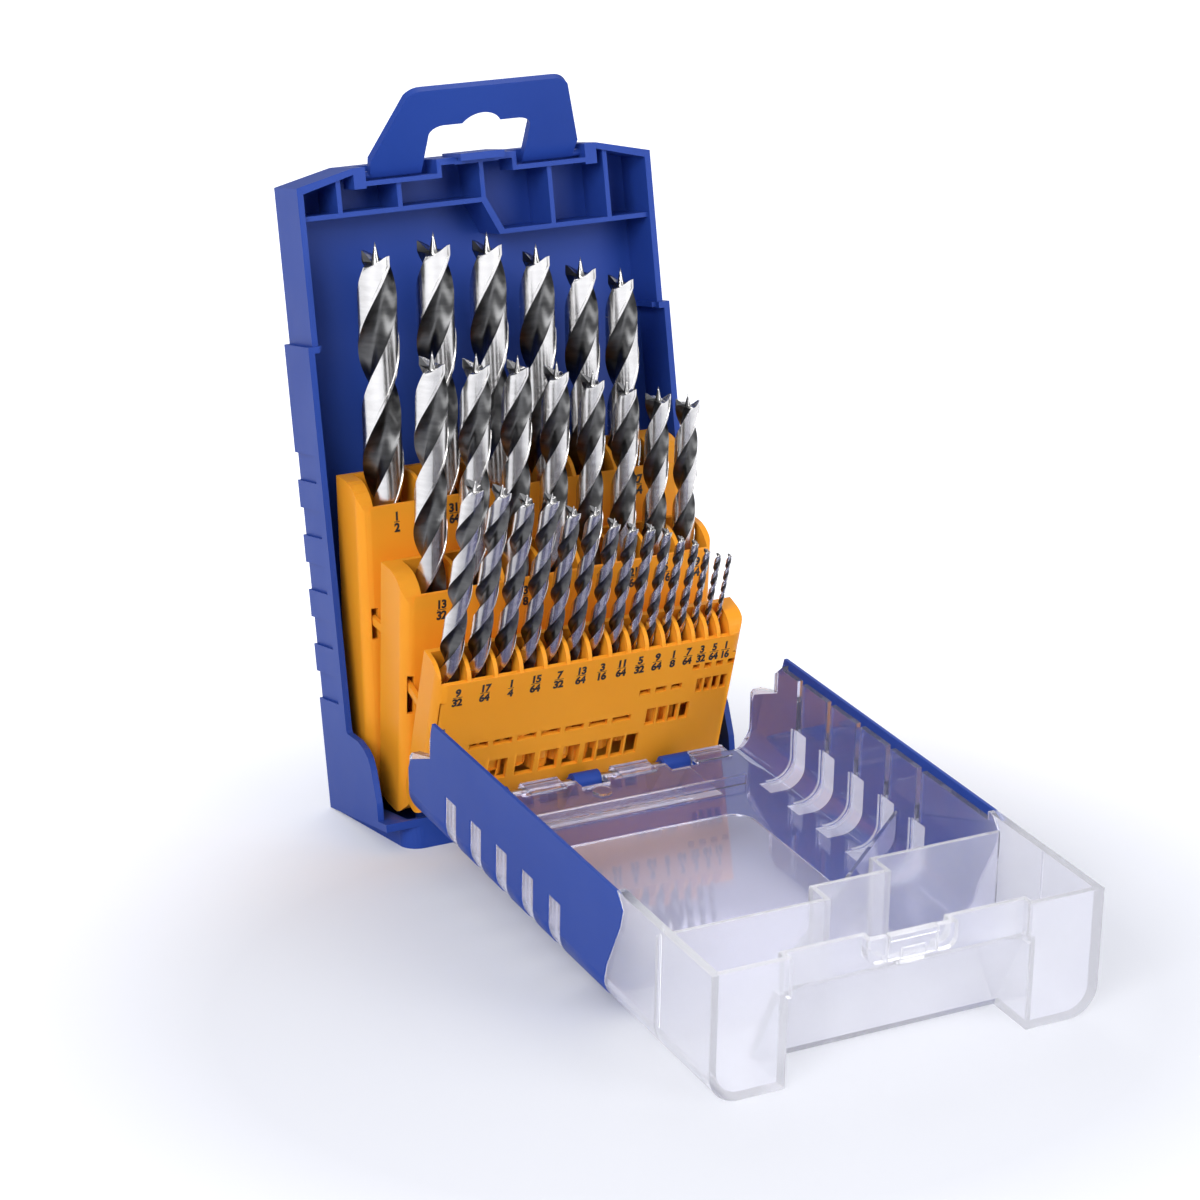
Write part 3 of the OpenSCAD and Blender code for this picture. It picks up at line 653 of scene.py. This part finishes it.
# The flutes' length in millimetres: a base and a share of the radius, but never so long
# that less than PLAIN_SHANK is left. They run out over RUN_OUT.
FLUTES_BASE = 26.0
FLUTES_SHARE = 13.2
PLAIN_SHANK = 8.0
RUN_OUT = 1.6
# Twist from one ring of points to the next, and the fewest rings
TWIST_STEP = 9.0
FEWEST_RINGS = 24
# The chamfer on the shank's end: its height in millimetres and its radius
CHAMFER_HIGH = 0.35
CHAMFER_R = 0.94
# The brad point: the slim centre spur, and the cutting edges' height over the shoulder
SPUR_R = 0.23
SPUR_HIGH = 1.1
EDGE_START = 0.25
EDGE_LOW = 0.10
EDGE_RISE = 0.42
TIP_RINGS = (1.0, 0.93, 0.8, 0.66, 0.52, 0.4, 0.3, 0.23, 0.15, 0.07)

# Angles of the section's corners on one side, in degrees from a land's middle
LAND_STEPS = [-40, -33, -24, -14, -4, 6, 16, 24, 31.2, 32, 36]
FLUTE_STEPS = [40, 41.5, 45, 50, 57, 65, 75, 86, 97, 107, 116, 124, 130, 135, 138.5]
ANGLES = [a + side for side in (0, 180) for a in LAND_STEPS + FLUTE_STEPS]


def side_angle(angle):
    """The same corner on the first side: from -40 on the land to 140 at the flute's end."""
    return (angle + LAND_HALF) % 180.0 - LAND_HALF


def section_radius(angle, depth):
    """Radius of the section as a share of the full one. depth runs from 0 on the plain
    shank to 1 along the flutes."""
    a = side_angle(angle)
    if a <= LAND_HALF:
        relief = 0.0 if a >= LAND_HALF - MARGIN else CLEARANCE
        return 1.0 - relief * depth
    across = (a - LAND_HALF) / (180.0 - 2 * LAND_HALF)
    scoop = math.sin(math.pi * across ** SCOOP_LEAN) ** SCOOP_FULL
    return 1.0 - depth * ((1.0 - CORE) * scoop + CLEARANCE * across)


def smooth_step(t):
    t = min(max(t, 0.0), 1.0)
    return t * t * (3 - 2 * t)


def tip_height(share, angle):
    """Height of the brad point over the shoulder, as a share of the radius: a slim centre
    spur, and on each land an edge that rises outwards and towards its leading corner."""
    a = side_angle(angle)
    centre = max(0.0, 1.0 - share / SPUR_R) * SPUR_HIGH
    along = smooth_step((a + LAND_HALF) / (2 * LAND_HALF)) if a <= LAND_HALF + 1 else 0.0
    outwards = EDGE_LOW + EDGE_RISE * smooth_step((share - EDGE_START) / (1.0 - EDGE_START))
    return max(centre, along ** 1.3 * outwards)


def bit_mesh(name, radius, length, turned):
    """One brad point bit in its own frame, in millimetres, standing on its shank end.
    turned is how far it is turned in its socket."""
    shoulder = length - SPUR_HIGH * radius
    flutes = min(shoulder - PLAIN_SHANK, FLUTES_BASE + FLUTES_SHARE * radius)
    pitch = PITCH * 2 * radius
    steps = max(FEWEST_RINGS, int(360 * flutes / pitch / TWIST_STEP))
    start = shoulder - flutes
    run_out = RUN_OUT * radius
    phase = TIP_PHASE + turned
    levels = [0.0, CHAMFER_HIGH, start * 0.5]
    levels += [start + flutes * k / steps for k in range(steps + 1)]
    around = len(ANGLES)
    # The flute faces take the steel that is painted dark as a reflection
    dark_side = [side_angle(a) >= LAND_HALF for a in ANGLES]
    verts = []
    faces = []
    slots = []

    def ring_faces(low, high, dark):
        for j in range(around):
            n = (j + 1) % around
            faces.append((low + j, low + n, high + n, high + j))
            slots.append(1 if dark and dark_side[j] else 0)

    for k, z in enumerate(levels):
        turn = phase + 360.0 * (z - shoulder) / pitch
        depth = smooth_step((z - start) / run_out)
        chamfer = CHAMFER_R if k == 0 else 1.0
        for local in ANGLES:
            rho = radius * section_radius(local, depth) * chamfer
            a = math.radians(local + turn)
            verts.append((rho * math.cos(a), rho * math.sin(a), z))
    for k in range(len(levels) - 1):
        ring_faces(k * around, (k + 1) * around, levels[k] >= start)
    faces.append(tuple(reversed(range(around))))
    slots.append(0)
    ring = (len(levels) - 1) * around
    for share in TIP_RINGS:
        first = len(verts)
        for local in ANGLES:
            rho = min(section_radius(local, 1.0) - 0.004, share)
            a = math.radians(local + phase)
            z = shoulder + 0.02 + radius * tip_height(rho, local)
            verts.append((radius * rho * math.cos(a), radius * rho * math.sin(a), z))
        ring_faces(ring, first, True)
        ring = first
    verts.append((0.0, 0.0, length))
    for j in range(around):
        faces.append((ring + j, ring + (j + 1) % around, len(verts) - 1))
        slots.append(0)
    mesh = bpy.data.meshes.new(name)
    mesh.from_pydata(verts, [], faces)
    for polygon, index in zip(mesh.polygons, slots):
        polygon.material_index = index
        polygon.use_smooth = True
    mesh.materials.append(LAND)
    mesh.materials.append(FLUTE)
    mesh.set_sharp_from_angle(angle=SHARP)
    mesh.update()
    return mesh


def add_bits(tray):
    """The tray's bits, each turned a little differently in its socket. Two stand turned
    further in the photograph."""
    place = tray_matrix(tray)
    count = len(tray["bits"])
    for i, (size, inches, tip) in enumerate(tray["bits"]):
        turned = 42.0 if size in (19, 20) else 7.0 * math.sin(2.3 * size)
        radius = size / 64 * INCH / 2
        length = inches * INCH
        part = Fraction(size, 64)
        node = f"bit_{part.numerator}_{part.denominator}"
        stand = place @ Matrix.Translation((row_x(tray["row"], count, i), 0, tip - length))
        mesh = bit_mesh("drill_" + node, radius, length, turned)
        piece = add_piece("drill_" + node, mesh, stand, tray["body"])
        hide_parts(node)


# ---- size numbers ------------------------------------------------------------

# Height of the digits, as millimetres and as a share of the font's size, how much
# bolder they are than the font, the space over and under the bar, half the bar's
# thickness, and how proud the ink lies, in millimetres
DIGIT = 2.6
DIGIT_SHARE = 0.70
BOLDER = 0.19
BAR_GAP = 0.5
BAR_HALF = 0.12
INK_PROUD = 0.03


def text_mesh(words, narrow):
    """A line of bold digits as a flat mesh, centred, in millimetres. narrow is the share of
    the font's width that they have."""
    curve = bpy.data.curves.new("digits", "FONT")
    curve.body = words
    curve.size = DIGIT / DIGIT_SHARE
    curve.offset = BOLDER
    curve.space_character = 0.92
    curve.resolution_u = 4
    curve.align_x = "CENTER"
    holder = bpy.data.objects.new("digits", curve)
    bpy.context.scene.collection.objects.link(holder)
    mesh = baked(holder)
    mesh.transform(Matrix.Diagonal((narrow, 1.0, 1.0, 1.0)))
    return mesh


def add_labels(tray):
    """All size numbers of a tray as one printed mesh on its front face."""
    verts = []
    faces = []
    y = -tray["thick"] / 2 - INK_PROUD

    def collect(mesh, x, h):
        first = len(verts)
        verts.extend((v.co.x + x, y, v.co.y + h) for v in mesh.vertices)
        faces.extend(tuple(first + i for i in p.vertices) for p in mesh.polygons)

    count = len(tray["bits"])
    for i, (size, _, _) in enumerate(tray["bits"]):
        part = Fraction(size, 64)
        x = row_x(tray["row"], count, i) + tray.get("shift", 0.0)
        narrow = 0.86 if part.denominator > 9 and size < 9 else 0.95
        middle = tray["label"]
        collect(text_mesh(str(part.numerator), narrow), x, middle + BAR_GAP)
        collect(text_mesh(str(part.denominator), narrow), x, middle - BAR_GAP - DIGIT)
        half = 0.95 if part.denominator < 10 else 1.55
        first = len(verts)
        for dx, dh in ((-half, -BAR_HALF), (half, -BAR_HALF), (half, BAR_HALF), (-half, BAR_HALF)):
            verts.append((x + dx, y, middle + dh))
        faces.append((first, first + 1, first + 2, first + 3))
    mesh = bpy.data.meshes.new("sizes_" + tray["body"])
    mesh.from_pydata(verts, [], faces)
    mesh.materials.append(INK)
    add_piece("sizes_" + tray["body"], mesh, tray_matrix(tray), tray["body"])


add_handle()
add_lid_shell()
add_lid_relief()
for each_tray in TRAYS:
    add_tray(each_tray)
    add_bits(each_tray)
    add_labels(each_tray)

# ---- floor, light and camera -------------------------------------------------

FLOOR_HALF = 6.0
FLOOR_COLOUR = (0.76, 0.77, 0.82, 1.0)
# The floor glows with painted light, seen by the camera and in reflections, so it looks
# white away from the object: its glow grows with the distance from GLOW_CENTRE, from
# (metres, strength) to (metres, strength). Weak near the object, it leaves the floor darker
# there, and further off it paints light over the object's shadow.
GLOW_CENTRE = (-0.03, -0.07, 0.0)
GLOW_NEAR = (0.13, 0.08)
GLOW_FAR = (0.34, 0.68)
# The studio's light by height, from the floor's side up, and its strength
WORLD_STOPS = ((0.30, (0.42, 0.43, 0.46, 1)), (0.85, (0.80, 0.81, 0.84, 1)))
WORLD_STRENGTH = 0.70
# Soft lamps: name, place, what it points at, size in metres, power in watts
LAMPS = [
    ("key", (-1.05, -0.9, 0.9), (0, 0, 0.08), 0.8, 16),
    ("front", (0.75, -1.4, 0.6), (0, 0, 0.08), 0.9, 10),
    ("back", (0.5, 1.2, 1.4), (0, 0, 0.05), 1.0, 7),
]
# The camera's place in metres and its direction in degrees, fitted to the photograph
CAMERA_PLACE = (-0.4427, -0.8614, 0.3971)
CAMERA_AZIMUTH = -26.854
CAMERA_ELEVATION = 15.671
CAMERA_ROLL = -1.049


def camera_white(tree, shader, strength):
    """Returns the shader with a white glow added, seen by the camera and in reflections
    only. strength is the socket that gives its amount."""
    path = tree.nodes.new("ShaderNodeLightPath")
    mirrored = greater(tree, path.outputs["Is Glossy Ray"], path.outputs["Is Transmission Ray"])
    seen = greater(tree, path.outputs["Is Camera Ray"], mirrored)
    amount = tree.nodes.new("ShaderNodeMath")
    amount.operation = "MULTIPLY"
    tree.links.new(seen, amount.inputs[0])
    tree.links.new(strength, amount.inputs[1])
    glow = tree.nodes.new("ShaderNodeEmission")
    tree.links.new(amount.outputs[0], glow.inputs["Strength"])
    both = tree.nodes.new("ShaderNodeAddShader")
    tree.links.new(shader.outputs[0], both.inputs[0])
    tree.links.new(glow.outputs[0], both.inputs[1])
    return both


def add_floor():
    """A wide pale floor, which keeps the object's shadow near it. A painted glow that grows
    away from the object paints light over the shadow further off.
    """
    h = FLOOR_HALF
    mesh = bpy.data.meshes.new("floor")
    mesh.from_pydata([(-h, -h, 0), (h, -h, 0), (h, h, 0), (-h, h, 0)], [], [(0, 1, 2, 3)])
    floor = bpy.data.objects.new("floor", mesh)
    bpy.context.scene.collection.objects.link(floor)
    n = Nodes("floor_white")
    n.set(Base_Color=FLOOR_COLOUR, Roughness=0.9, Specular_IOR_Level=0.1)
    away = n.add("ShaderNodeVectorMath", operation="DISTANCE")
    n.link(n.coordinates(), away.inputs[0])
    away.inputs[1].default_value = GLOW_CENTRE
    # Painted light: the glow's strength, weak near the object and strong away from it
    reach = n.range(away.outputs["Value"], GLOW_NEAR[1], GLOW_FAR[1], GLOW_NEAR[0], GLOW_FAR[0])
    both = camera_white(n.tree, n.shader, reach)
    n.link(both.outputs[0], n.output.inputs["Surface"])
    mesh.materials.append(n.material)


def add_world():
    """Soft light from all around, and plain white where the camera sees past the floor."""
    world = bpy.data.worlds.new("studio")
    bpy.context.scene.world = world
    world.use_nodes = True
    tree = world.node_tree
    background = tree.nodes["Background"]
    place = tree.nodes.new("ShaderNodeTexCoord")
    split = tree.nodes.new("ShaderNodeSeparateXYZ")
    tree.links.new(place.outputs["Generated"], split.inputs[0])
    ramp = tree.nodes.new("ShaderNodeValToRGB")
    for element, (height, colour) in zip(ramp.color_ramp.elements, WORLD_STOPS):
        element.position = height
        element.color = colour
    tree.links.new(split.outputs["Z"], ramp.inputs["Fac"])
    tree.links.new(ramp.outputs["Color"], background.inputs["Color"])
    background.inputs["Strength"].default_value = WORLD_STRENGTH
    white = tree.nodes.new("ShaderNodeBackground")
    white.inputs["Strength"].default_value = 1.0
    path = tree.nodes.new("ShaderNodeLightPath")
    seen = greater(tree, path.outputs["Is Camera Ray"], path.outputs["Is Transmission Ray"])
    mix = tree.nodes.new("ShaderNodeMixShader")
    tree.links.new(seen, mix.inputs["Fac"])
    tree.links.new(background.outputs[0], mix.inputs[1])
    tree.links.new(white.outputs[0], mix.inputs[2])
    tree.links.new(mix.outputs[0], tree.nodes["World Output"].inputs["Surface"])


def add_lamp(name, place, target, size, power):
    """A square soft lamp that points at target."""
    data = bpy.data.lights.new(name, "AREA")
    data.energy = power
    data.size = size
    lamp = bpy.data.objects.new(name, data)
    lamp.location = place
    lamp.rotation_mode = "QUATERNION"
    lamp.rotation_quaternion = (Vector(target) - Vector(place)).to_track_quat("-Z", "Y")
    bpy.context.scene.collection.objects.link(lamp)


def add_camera():
    """The photograph's camera: about 105 mm lens, looking down from the front left."""
    data = bpy.data.cameras.new("camera")
    data.lens = 105.1
    data.sensor_width = 36.0
    data.shift_x = -0.0333
    data.shift_y = -0.1
    data.clip_start = 0.05
    data.clip_end = 50
    camera = bpy.data.objects.new("camera", data)
    azimuth = math.radians(CAMERA_AZIMUTH)
    elevation = math.radians(CAMERA_ELEVATION)
    back = Vector((math.sin(azimuth) * math.cos(elevation),
                   -math.cos(azimuth) * math.cos(elevation),
                   math.sin(elevation)))
    roll = Matrix.Rotation(math.radians(CAMERA_ROLL), 3, "Z")
    turn = (-back).to_track_quat("-Z", "Y").to_matrix() @ roll
    camera.matrix_world = Matrix.Translation(CAMERA_PLACE) @ turn.to_4x4()
    bpy.context.scene.collection.objects.link(camera)
    bpy.context.scene.camera = camera


add_floor()
add_world()
for each_lamp in LAMPS:
    add_lamp(*each_lamp)
add_camera()
bpy.context.scene.view_settings.view_transform = "Standard"
